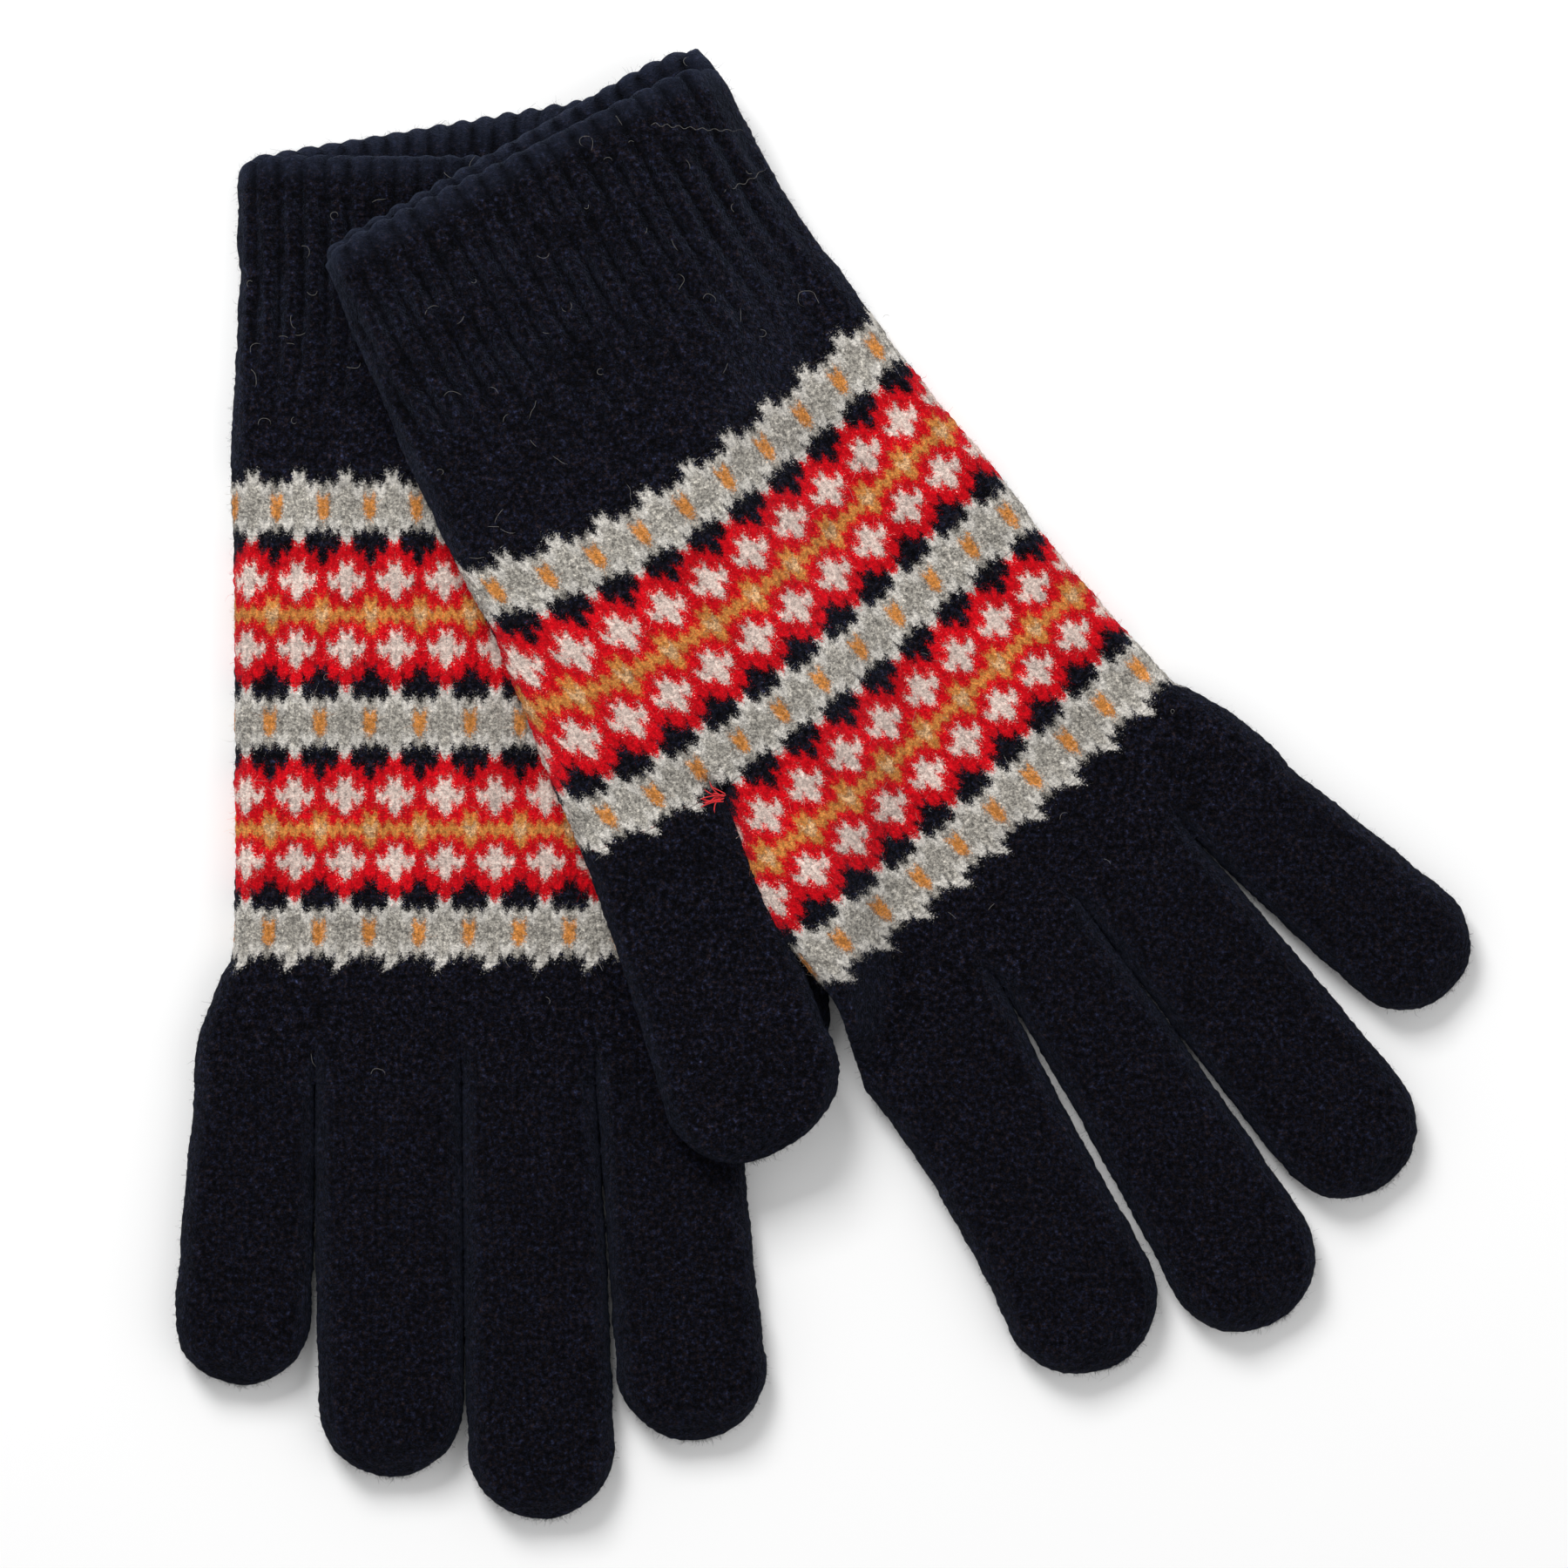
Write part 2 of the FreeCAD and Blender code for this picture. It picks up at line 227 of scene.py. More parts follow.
def gridMesh(name, points, uv, glove, cap, closedAlong=False, poles=()):
    # Rings by columns. The uv has one more column, so that it doesn't run back at the seam.
    # The faces after the ring called cap are the fabric's cut edge, which is flat.
    rings, columns = points.shape[:2]
    nextRing = (np.arange(rings) + 1) % rings if closedAlong else np.arange(1, rings)
    i, j = np.meshgrid(np.arange(len(nextRing)), np.arange(columns), indexing="ij")
    k = np.broadcast_to(nextRing[:, None], i.shape)
    corners = [(i, j), (i, j + 1), (k, j + 1), (k, j)]
    if glove == "right":
        corners = [corners[0], *corners[:0:-1]]     # the right glove's rings run the other way
    quads = np.stack([ring * columns + column % columns for ring, column in corners], -1).reshape(-1, 4)
    loopUv = np.stack([uv[corner] for corner in corners], -2).reshape(-1, 2)
    verts = np.array(points.reshape(-1, 3))
    verts[:, 2] = np.maximum(verts[:, 2], 0)     # flat where it rests on the table
    loops, starts, totals = quads.reshape(-1), np.arange(len(quads)) * 4, np.full(len(quads), 4)
    for ring in poles:     # a closed end: a fan from the ring's middle
        tip = len(verts)
        verts = np.vstack([verts, points[ring].mean(0)])
        edge = (rings - 1 if ring == -1 else 0) * columns + np.arange(columns)
        turned = (ring == -1) == (glove == "left")
        first, second = (edge, np.roll(edge, -1)) if turned else (np.roll(edge, -1), edge)
        fan = np.stack([first, second, np.full(columns, tip)], -1)
        starts = np.append(starts, len(loops) + np.arange(columns) * 3)
        totals = np.append(totals, np.full(columns, 3))
        loops = np.append(loops, fan.reshape(-1))
        loopUv = np.vstack([loopUv, np.repeat(uv[ring, :columns], 3, axis=0)])
    mesh = meshFrom(name, verts, loops, starts, totals, loopUv)
    smooth = np.ones(len(starts), bool)
    for ring in cap:
        smooth[ring * columns:(ring + 1) * columns] = False
    mesh.polygons.foreach_set("use_smooth", smooth)
    mesh.update(calc_edges=True)
    mesh.validate()
    return linked(name, mesh)


# ---- how the upper glove lies over the lower one ----

drape = {
    "layer": 9.0,            # height of the lower glove's back
    "edge": [(150, -30), (116, -28), (60, -22), (8, -4), (-42, 2.0), (-58, -2), (-70, -10), (-130, -10)],
    "fallFar": 26.0,         # how far the fabric takes to come down, by the cuff
    "fallNear": 9.0,         # and by the index finger
    "nearAt": -55,           # where it starts to change from near to far
    "changeOver": 75,
}


def underside(row):
    # height of the upper glove's underside over a point of the table, in millimetres
    y = row[..., 1]
    ys, xs = zip(*drape["edge"][::-1])
    edge = np.interp(y, ys, xs)
    far = ease((y - drape["nearAt"]) / drape["changeOver"])
    fall = drape["fallNear"] + (drape["fallFar"] - drape["fallNear"]) * far
    return drape["layer"] * (1 - ease((row[..., 0] - edge) / fall))


def liesOn(glove, row):
    return underside(row) if glove == "left" else np.zeros(row.shape[:-1])


def place(glove, plan, z, half, crown):
    # puts rings on what they lie on: flat below, a little crowned above
    row = toRow(glove, plan)
    lift = np.where(z > 0, crown * np.clip(z / half[:, None], 0, 1), 0)
    height = liesOn(glove, row) + half[:, None] + z + lift
    return np.concatenate([row, height[..., None]], -1)


# ---- the hand, from cuff to knuckles ----

hand = {
    "half": 3.9,            # half the thickness at the hand
    "crown": 0.7,
    "relief": 0.36,         # depth of the stitches
    "lumps": 0.12,          # depth of the fabric's unevenness
    "flare": 2.3,           # how far the knuckles bow out past a straight line
    # at some rows: how far the row's middle sags towards the fingers, how far its little
    # finger's side rises over the thumb's, and how far all of it rises
    "sag": {"right": [(0, 0, 0, 0), (60, 0, 0, 0), (68, 0, 0, 1.0), (81, 0, 0, 0)],
            "left": [(0, 0, 0, 0), (27, 7.1, 2.2, 0.8), (33, 7.1, 2.3, 0.8), (49, 4.7, 3.4, 0.7),
                     (60, 4.0, 1.6, 1.6), (68, 4.0, 0.8, 2.9), (81, 0, 0, 0)]},
    # at some rows: where the pattern starts, in stitches, and how many fit where one did
    "columns": {"right": [(0, -0.6, 1.08), (30, -0.6, 1.08), (36, 0.1, 1.03), (42, 0.45, 1.0),
                          (50, 0.6, 1.0), (81, 0.6, 1.0)],
                "left": [(0, 2.15, 1.0), (81, 2.15, 1.0)]},
    "creaseReach": 11.0,    # how far a crease runs into the hand from where fingers part
    "bowPower": 0.7,        # below 1, the knuckles bow out fuller near both ends
}
sections = list(knit["rows"])
rowsAt = np.concatenate([[0], np.cumsum(list(knit["rows"].values()))])
forkRow = int(rowsAt[4])


def handEdges(glove):
    # curves of both edges against the row of knitting, with the thumb's side cut at the fork
    starts = [endOfTube(glove, name, True) for name in sections]
    roots = endOfTube(glove, "knuckles", False)
    fork = endOfTube(glove, "middle_grey_band", False)
    little = [start[0] for start in starts] + [roots[0]]
    below = [start[1] for start in starts[:4]] + [fork[1]]
    above = [start[1] for start in starts[4:]] + [roots[1]]

    def edges(rows, upper):
        thumbSide = (smoothThrough(rowsAt[4:], above, rows) if upper
                     else smoothThrough(rowsAt[:5], below, rows))
        return smoothThrough(rowsAt, little, rows), thumbSide
    return edges


edgesOf = {glove: handEdges(glove) for glove in ("left", "right")}
print("hand outlines read")


def sagged(glove, plan, rows, fade=1.0):
    # a parabola and a slope across the hand, which fade at its edges; past the fork they
    # keep the fork's width
    at, amount, slope, rise = zip(*hand["sag"][glove])
    little, thumb = edgesOf[glove](np.minimum(rows, forkRow), False)
    middle, wide = (little[:, 0] + thumb[:, 0]) / 2, np.abs(thumb[:, 0] - little[:, 0]) / 2
    s = (plan[..., 0] - middle[:, None]) / wide[:, None]
    s = np.clip(s, -1, 1)
    drop, lean, lift = ((np.interp(rows, at, part) * fade)[:, None] for part in (amount, slope, rise))
    shift = lift - drop * (1 - s ** 2) + lean * s * (1 - s ** 4)
    return np.stack([plan[..., 0], plan[..., 1] + shift], -1)


def stitchCount(glove, u, rows):
    at, start, tight = zip(*hand["columns"][glove])
    return u * np.interp(rows, at, tight)[:, None] + np.interp(rows, at, start)[:, None]


def knitUv(u, v):
    # one more column at the seam, then u and v as the map
    last = u[:, -1:] + (u[:, -1:] - u[:, -2:-1])
    u = np.concatenate([u, last], 1)
    return np.stack([u, np.broadcast_to(v[:, None], u.shape)], -1)


def lumpy(points, amount):
    return amount * (waves(points, 9.0, 5) + 0.6 * waves(points, 2.6, 6) + 0.7 * waves(points, 1.3, 7))


def felt(points, glove, u, v, relief):
    height = relief[:, None] * (stitchHeight(u, v[:, None]) - 0.5) + lumpy(points, hand["lumps"])
    return points + normalsOf(points, glove) * height[..., None]


def shell(outer, uvOuter, inner, uvInner, name, glove):
    # outer rings, then the fabric's inner face back to the start, closed into one skin
    points = np.concatenate([outer, inner], 0)
    uv = np.concatenate([uvOuter, uvInner], 0)
    return gridMesh(name, points, uv, glove, (len(outer) - 1, len(points) - 1), closedAlong=True)


outerUv = {}      # each piece's outer face, for its loose fibres
creases = {}
for glove in ("right", "left"):
    forkEdge = endOfTube(glove, "upper_red_band", True)[1]
    inner = min(rootEnds(glove, "thumb"), key=lambda end: abs(end[0]))
    creases[glove] = {"knuckles": crotches(glove),
                      "middle_grey_band": [np.array([(forkEdge[0] + inner[0]) / 2, forkEdge[1]])]}


def creased(glove, name, plan, z, half):
    # where two digits part, the fabric dips like two half circles side by side
    for crotch in creases[glove].get(name, []):
        radius = hand["half"] - knit["flatSide"]
        away = np.abs(plan[..., 0] - crotch[0])
        inside = np.clip(radius - away, 0, radius)
        dip = radius - np.sqrt(radius ** 2 - inside ** 2)
        fade = 1 - ease((plan[..., 1] - crotch[1]) / hand["creaseReach"])
        z = z * (1 - fade ** 1.5 * dip / half[:, None])
    return z


def splitCrown(glove, name, plan):
    # where digits part, each one's top is crowned on its own
    edges = endOfTube(glove, name, False)
    bounds = np.array(sorted([edges[0][0], edges[1][0]] + [crotch[0] for crotch in creases[glove][name]]))
    x = plan[..., 0]
    k = np.clip(np.searchsorted(bounds, x) - 1, 0, len(bounds) - 2)
    return np.clip(1 - (2 * (x - bounds[k]) / (bounds[k + 1] - bounds[k]) - 1) ** 2, 0, 1)


def bandPiece(glove, index):
    name = sections[index]
    first, last = rowsAt[index], rowsAt[index + 1]
    rows = np.linspace(first, last, (last - first) * knit["perRow"] + 1)
    little, thumb = edgesOf[glove](rows, index >= 4)
    if name == "knuckles":
        bow = np.clip(np.sin(math.pi * (rows - first) / (last - first)), 0, 1)[:, None]
        bow = hand["flare"] * bow ** hand["bowPower"]
        little = little - bow * unit(thumb - little)
    half = np.full(len(rows), hand["half"])
    wide = np.linalg.norm(thumb - little, axis=1).mean()
    columns = int(round(2 * wide / knit["stitch"])) * knit["perStitch"]

    def rings(inset):
        step = unit(thumb - little) * inset
        plan, z, s, u = tubeRings(little + step, thumb - step, half - inset,
                                  half - knit["flatSide"] - inset, columns)
        z = creased(glove, name, plan, z, half)
        crown = 1 - s ** 2
        if name in creases[glove]:
            fade = 1 - ease((plan[..., 1] - creases[glove][name][0][1]) / hand["creaseReach"])
            crown = crown + (splitCrown(glove, name, plan) - crown) * fade
        plan = sagged(glove, plan, rows)
        return place(glove, plan, z, half, hand["crown"] * crown), stitchCount(glove, u, rows)
    outer, u = rings(0.0)
    relief = np.full(len(rows), hand["relief"])
    if name == "knuckles":
        relief = digits["relief"] + (hand["relief"] - digits["relief"]) * (1 - ease((rows - first) / 1.5))
    outer = felt(outer, glove, u, rows, relief)
    inner, _ = rings(knit["wall"])
    ends = [len(rows) - 1, 0]
    uv = knitUv(u, rows)
    outerUv[f"{glove}_{name}_knit"] = (outer, uv, glove)
    return shell(outer, uv, inner[ends], uv[ends], f"{glove}_{name}_knit", glove)


cuffs = {
    "mouthHalf": {"right": 3.7, "left": 4.4},     # half the thickness at the mouth
    # the back layer runs past the front one at the mouth: by the first length at one side of
    # the hand, changing by the second between two places across it (-1 little finger, 1 thumb)
    "slant": {"right": (1.3, 11.2, -0.85, 0.75), "left": (1.8, 3.0, 0.7, -0.7)},
    "slantRows": 8,
    "waist": 1.2,           # how far the cuff draws in at mid-length
    "ribPitch": 2,          # stitches in a rib
    "ribDepth": 0.95,
    "ribRows": 25,          # rows that the ribbing takes to fade
    "fadeRows": 12,
    "rimShare": 0.3,        # share of the ribs' depth that is left at the rim
    "innerDepth": 0.35,     # depth of the ribs inside
    "scallop": 0.8,         # how far a rib's end stands past the hollows
    "roundCorner": 2.2,     # how far the mouth's corners round back
    "relief": 0.16,
    "lining": 61,           # rings that the inner face runs in from the mouth
    "rimRings": 5,
    "rimOut": 1.0,          # how far the rounded rim stands out
    "fold": 14,             # length of fabric that folds when the cuff turns back
}


def cuffPiece(glove):
    name = f"{glove}_cuff_knit"
    rowCount = knit["rows"]["cuff"]
    rows = np.linspace(rowCount, 0, rowCount * knit["perRow"] + 1)
    little, thumb = edgesOf[glove](rows, False)
    waist = cuffs["waist"] * np.sin(math.pi * rows / rowCount)[:, None] ** 2
    little = little + waist * unit(thumb - little)
    toMouth = ease(1 - rows / rowCount)
    half = hand["half"] + (cuffs["mouthHalf"][glove] - hand["half"]) * toMouth
    stitches = int(round(np.linalg.norm(thumb[-1] - little[-1]) / knit["stitch"])) * 2
    columns = stitches * knit["perStitch"]
    # the ribs are strongest in the middle of the cuff: they fade into the hand and the rim
    ribFade = ease((cuffs["ribRows"] - rows) / cuffs["fadeRows"])
    ribFade = ribFade * (cuffs["rimShare"] + (1 - cuffs["rimShare"]) * ease((rows - 1) / 6))
    atLittle, change, first, last = cuffs["slant"][glove]

    def ribs(u):
        return 1 - np.abs(np.cos(math.pi * u / cuffs["ribPitch"])) ** 2.5

    def rings(inset):
        step = unit(thumb - little) * inset
        plan, z, s, u = tubeRings(little + step, thumb - step, half - inset,
                                  np.maximum(half - knit["flatSide"] - inset, 0.5), columns)
        back = np.clip(-z / half[:, None] * 1.5, 0, 1)
        near = ease(1 - rows / cuffs["slantRows"])[:, None]
        direction = unit(little[-1] - little[-6] + thumb[-1] - thumb[-6])
        u = stitchCount(glove, u, rows)
        slant = atLittle + change * np.clip((s - first) / (last - first), 0, 1)
        reach = back * slant + cuffs["scallop"] * ribs(u) - cuffs["roundCorner"] * np.abs(s) ** 14
        plan = plan + direction * (near * reach)[..., None]
        crown = hand["crown"] * (1 - toMouth)[:, None] * (1 - s ** 2)
        plan = sagged(glove, plan, rows)
        return place(glove, plan, z, half, crown), u
    outer, u = rings(0.0)
    normal = -normalsOf(outer, glove)
    ribbing = ribs(u)
    height = cuffs["ribDepth"] * (ribbing - 0.6) * ribFade[:, None] * (0.75 + 0.35 * waves(outer, 14.0, 3))
    height = height + cuffs["relief"] * (stitchHeight(u, rows[:, None]) - 0.5)
    height = height + lumpy(outer, hand["lumps"])
    outer = outer + normal * height[..., None]
    inner, _ = rings(knit["wall"])
    inner = inner + normal * (cuffs["innerDepth"] * (ribbing - 0.5) * ribFade[:, None])[..., None]
    uv = knitUv(u, rows)
    # round the rim between the outer and inner faces
    outward = unit(outer[-1] - outer[-3])
    turnBy = np.linspace(0, math.pi, cuffs["rimRings"] + 2)[1:-1, None, None]
    middle, arm = (outer[-1] + inner[-1]) / 2, (outer[-1] - inner[-1]) / 2
    rim = middle + np.cos(turnBy) * arm + np.sin(turnBy) * outward * cuffs["rimOut"]
    keep = np.r_[np.arange(len(rows) - 1, len(rows) - cuffs["lining"], -2), 0]
    points = np.concatenate([outer, rim, inner[keep]], 0)
    uvAll = np.concatenate([uv, uv[[-1] * len(rim)], uv[keep]], 0)
    outerUv[name] = (np.concatenate([outer, rim]), uvAll[:len(outer) + len(rim)],
                     "right" if glove == "left" else "left")
    return gridMesh(name, points, uvAll, "right" if glove == "left" else "left", (len(points) - 1,),
                    closedAlong=True)


# ---- fingers and thumbs ----

digits = {
    "half": 3.9,
    "thumbHalf": 3.3,
    "crown": 0.8,
    "relief": 0.16,
    # how far a finger's sides swell: the little finger's side, then the thumb's
    "puff": {"left_index": (-0.5, -1.9), "left_middle": (0.3, -0.6), "right_index": (-0.2, -0.6),
             "left_thumb": (0.3, -0.5)},
    "usualPuff": (0.3, 0.3),
    "bend": 9.0,            # length of fabric that folds at the root
    "innerRings": 8,
    "innerEnd": 3.2,        # how far before the tip the inner face ends
    "thickenOver": 14,      # how far from its root the thumb gets to its own thickness
    "sagOver": 24,          # how far from its root the thumb's rows get straight
    "crownOver": 10,
    "closeOver": 9,
}
thumbTuck = {"left": 6.2, "right": 0.0}    # how far the thumb's inner side reaches under the hand


def fingerRoot(glove, node):
    # a finger starts where the knuckles end, and its sides meet its neighbours'
    edges = endOfTube(glove, "knuckles", False)
    ends = sorted([edges[0], edges[1]] + creases[glove]["knuckles"], key=lambda end: end[0])
    middle = (rootEnds(glove, node)[0][0] + rootEnds(glove, node)[1][0]) / 2
    k = int(np.clip(np.searchsorted([end[0] for end in ends], middle) - 1, 0, len(ends) - 2))
    return (ends[k], ends[k + 1]) if glove == "right" else (ends[k + 1], ends[k])


def digitPiece(glove, name, tipNode, rootNode):
    isThumb = name == "thumb"
    centre, radius = tipCircle(glove, tipNode)
    if isThumb:
        # the thumb starts where the band that holds it ends
        root = (creases[glove]["middle_grey_band"][0], endOfTube(glove, "middle_grey_band", False)[1])
    else:
        root = fingerRoot(glove, rootNode)
    middle = (root[0] + root[1]) / 2
    axis = centre - middle
    length = np.linalg.norm(axis)
    axis = axis / length
    square = np.array([-axis[1], axis[0]])
    square = square * np.sign(square @ (root[1] - root[0]))
    rowStep = knit["rowHeight"] / knit["perRow"]
    straight = np.arange(0, length, rowStep)
    arc = np.linspace(0, math.pi / 2, int(radius * math.pi / 2 / rowStep))[:-1]
    t = (straight / length)[:, None]
    puff = digits["puff"].get(f"{glove}_{name.split('_')[0]}", digits["usualPuff"])
    swell = np.sin(math.pi * np.clip(t, 0, 1)) ** 0.7
    tuck = thumbTuck[glove] if isThumb else 0.0
    little = root[0] + (centre - square * radius - root[0]) * t
    little = little - square * (puff[0] * swell + tuck * t ** 0.5)
    thumb = root[1] + (centre + square * radius - root[1]) * t + square * puff[1] * swell
    tip = centre + np.sin(arc)[:, None] * axis * radius
    little = np.vstack([little, tip - np.cos(arc)[:, None] * square * (radius + tuck)])
    thumb = np.vstack([thumb, tip + np.cos(arc)[:, None] * square * radius])
    distance = np.concatenate([straight, length + radius * np.sin(arc)])
    along = np.concatenate([straight, length + radius * arc])
    full = np.full(len(distance), digits["half"])
    if isThumb:
        rooted = 1 - ease(distance / digits["thickenOver"])
        full = digits["thumbHalf"] + (hand["half"] - digits["thumbHalf"]) * rooted
    # towards the tip the thickness closes like a quarter circle
    ahead = np.clip((distance - (length + radius - 2.1 * full)) / (2.1 * full), 0, 1)
    half = full * np.sqrt(np.maximum(1 - ahead ** 2, 0.0)) + 0.02
    columns = int(round(4.2 * radius / knit["stitch"])) * knit["perStitch"]
    rows = float(forkRow if isThumb else rowsAt[6]) + along / knit["rowHeight"]

    def rings(inset):
        gap = thumb - little
        reach = np.linalg.norm(gap, axis=1)[:, None]
        step = gap / reach * np.minimum(inset, reach * 0.45)
        thin = np.maximum(half - inset, 0.02)
        plan, z, s, u = tubeRings(little + step, thumb - step, thin,
                                  np.maximum(thin - knit["flatSide"], 0.01), columns)
        crown = hand["crown"] + (digits["crown"] - hand["crown"]) * ease(distance / digits["crownOver"])
        crown = crown * ease((length + radius - distance) / digits["closeOver"])
        if isThumb:
            fade = 1 - ease(distance / digits["sagOver"])
            plan = sagged(glove, plan, np.full(len(rows), float(forkRow)), fade)
        points = place(glove, plan, z, half, crown[:, None] * (1 - s ** 2))
        points[..., 2] += (0.55 * (full - half))[:, None]
        return points, u
    outer, u = rings(0.0)
    if isThumb:
        edge = edgesOf[glove](np.array([float(forkRow)]), False)[0][0]
        u = u + np.linalg.norm(edge - root[0]) / knit["stitch"]
        u = stitchCount(glove, u, np.full(len(rows), float(forkRow)))
    relief = np.full(len(rows), digits["relief"])
    if isThumb:
        relief = relief + (hand["relief"] - relief) * (1 - ease(along / 3))
    outer = felt(outer, glove, u, rows, relief)
    inner, _ = rings(knit["wall"])
    innerLast = len(distance) - int(digits["innerEnd"] / rowStep)
    keep = np.linspace(innerLast, 0, digits["innerRings"]).astype(int)
    uv = knitUv(u, rows)
    outerUv[f"{glove}_{name}_knit"] = (outer, uv, glove)
    points = np.concatenate([inner[keep], outer], 0)
    return gridMesh(f"{glove}_{name}_knit", points, np.concatenate([uv[keep], uv], 0), glove,
                    (len(keep) - 1,), poles=(0, -1))


# ---- loose fibres ----

fuzz = {
    "perSquare": 1.7,        # fibres on a square millimetre
    "below": 0.25,           # share of them that is kept on an underside
    "rooted": 0.12,          # how deep a fibre starts
    "curl": 0.55,
    "long": (0.5, 2.3),
    "rise": 0.26,            # average height that a fibre stands off
    "wide": 0.05,
    "segments": 2,
}
fibreTotal = []


def fibres(name, surface, count, seed):
    # Flat ribbons. A fibre starts just inside the surface, runs off along it in a random
    # direction, curls sideways with the square of the distance, and rises and dips again.
    points, uv, glove = surface
    rng = np.random.default_rng(seed)
    rings, columns = points.shape[:2]
    normal = normalsOf(points, glove)
    i, j = rng.integers(1, rings - 1, count), rng.integers(0, columns, count)
    kept = (normal[i, j, 2] > -0.3) | (rng.random(count) < fuzz["below"])
    i, j = i[kept], j[kept]
    count = len(i)
    fibreTotal.append(count)
    start, up = points[i, j], normal[i, j]
    side = rng.normal(size=(count, 3))
    side = unit(side - up * (side * up).sum(1)[:, None])
    cross = np.cross(up, side)
    length = rng.uniform(*fuzz["long"], count)[:, None]
    curl = rng.normal(0, fuzz["curl"], (count, 1))
    rise = rng.exponential(fuzz["rise"], (count, 1)).clip(0, 1.2)
    droop = rng.uniform(0.1, 1.0, (count, 1))
    wide = fuzz["wide"] * rng.uniform(0.6, 1.3, (count, 1))
    t = np.linspace(0, 1, fuzz["segments"] + 1)
    rows = []
    for k in t:
        at = (start - up * fuzz["rooted"] + side * length * k + cross * length * curl * k * k
              + up * (rise + fuzz["rooted"]) * np.sin(0.5 * math.pi * k * (1 + droop)))
        across = cross - side * curl * k
        half = wide * (1.0 - 0.8 * k) / 2
        rows.append(np.stack([at - across * half, at + across * half], 1))
    verts = np.stack(rows, 1).reshape(-1, 3)
    verts[:, 2] = np.maximum(verts[:, 2], 0.02)
    per = 2 * (fuzz["segments"] + 1)
    base = np.arange(count)[:, None, None] * per
    strip = np.array([[2 * k, 2 * k + 1, 2 * k + 3, 2 * k + 2] for k in range(fuzz["segments"])])
    faces = (base + strip[None]).reshape(-1, 4)
    loopUv = np.repeat(uv[i, j], 4 * fuzz["segments"], axis=0)
    mesh = meshFrom(name, verts, faces.ravel(), np.arange(len(faces)) * 4, np.full(len(faces), 4), loopUv)
    mesh.update(calc_edges=True)
    return linked(name, mesh)


# ---- yarns ----

yarns = {
    "navy": (0.0034, 0.0032, 0.0062),
    "navyBlue": (0.0070, 0.0084, 0.0190),
    "navyBrown": (0.0075, 0.0050, 0.0058),
    "light": (0.80, 0.76, 0.70),
    "cream": (0.90, 0.72, 0.64),
    "grey": (0.47, 0.44, 0.39),
    "ochre": (0.76, 0.30, 0.070),
    "mixed": (0.82, 0.50, 0.26),
    "red": (0.76, 0.0045, 0.012),
}
chart = {             # yarns of the 19 rows, for the dot's column, its neighbours and the cross's column
    "dot": "ngoognnnrrromorrrnn",
    "beside": "nwggwnnrrcrrorrcrrn",
    "cross": "wggggwrrcccrorcccrr",
}
letters = {"n": "navy", "w": "light", "g": "grey", "o": "ochre", "r": "red", "c": "cream",
           "m": "mixed"}


def newMaterial(name):
    material = bpy.data.materials.new(name)
    material.use_nodes = True
    tree = material.node_tree
    tree.nodes.clear()
    return material, tree


def add(tree, kind, **inputs):
    node = tree.nodes.new(kind)
    for key, value in inputs.items():
        node.inputs[key.replace("_", " ")].default_value = value
    return node


def calc(tree, operation, *values):
    node = tree.nodes.new("ShaderNodeMath")
    node.operation = operation
    for socket, value in zip(node.inputs, values):
        if isinstance(value, (int, float)):
            socket.default_value = value
        else:
            tree.links.new(value, socket)
    return node.outputs[0]


def clamped(tree, value):
    return calc(tree, "MINIMUM", calc(tree, "MAXIMUM", value, 0.0), 1.0)


def surfaceFrom(tree, shader):
    output = tree.nodes.new("ShaderNodeOutputMaterial")
    tree.links.new(shader.outputs[0], output.inputs["Surface"])


def mixColour(tree, share, first, second, how="MIX"):
    node = tree.nodes.new("ShaderNodeMix")
    node.data_type = "RGBA"
    node.blend_type = how
    for socket, value in ((node.inputs[0], share), (node.inputs[6], first), (node.inputs[7], second)):
        if isinstance(value, (int, float)):
            socket.default_value = value
        elif isinstance(value, tuple):
            socket.default_value = (*value, 1)
        else:
            tree.links.new(value, socket)
    return node.outputs[2]


def noise(tree, where, scale, detail=2.0, rough=0.5):
    node = add(tree, "ShaderNodeTexNoise", Scale=scale, Detail=detail, Roughness=rough)
    tree.links.new(where, node.inputs["Vector"])
    return node


def steps(tree, factor, stops):
    # a colour ramp of hard steps, or smooth ones when stops are (place, colour) pairs
    node = tree.nodes.new("ShaderNodeValToRGB")
    ramp = node.color_ramp
    hard = isinstance(stops, str)
    if hard:
        ramp.interpolation = "CONSTANT"
        changes = [k for k in range(len(stops)) if k == 0 or stops[k] != stops[k - 1]]
        stops = [(k / len(stops), yarns[letters[stops[k]]]) for k in changes]
    ramp.elements[0].position, ramp.elements[0].color = stops[0][0], (*stops[0][1], 1)
    ramp.elements[1].position, ramp.elements[1].color = stops[1][0], (*stops[1][1], 1)
    for position, colour in stops[2:]:
        ramp.elements.new(position).color = (*colour, 1)
    tree.links.new(factor, node.inputs["Fac"])
    return node.outputs["Color"]


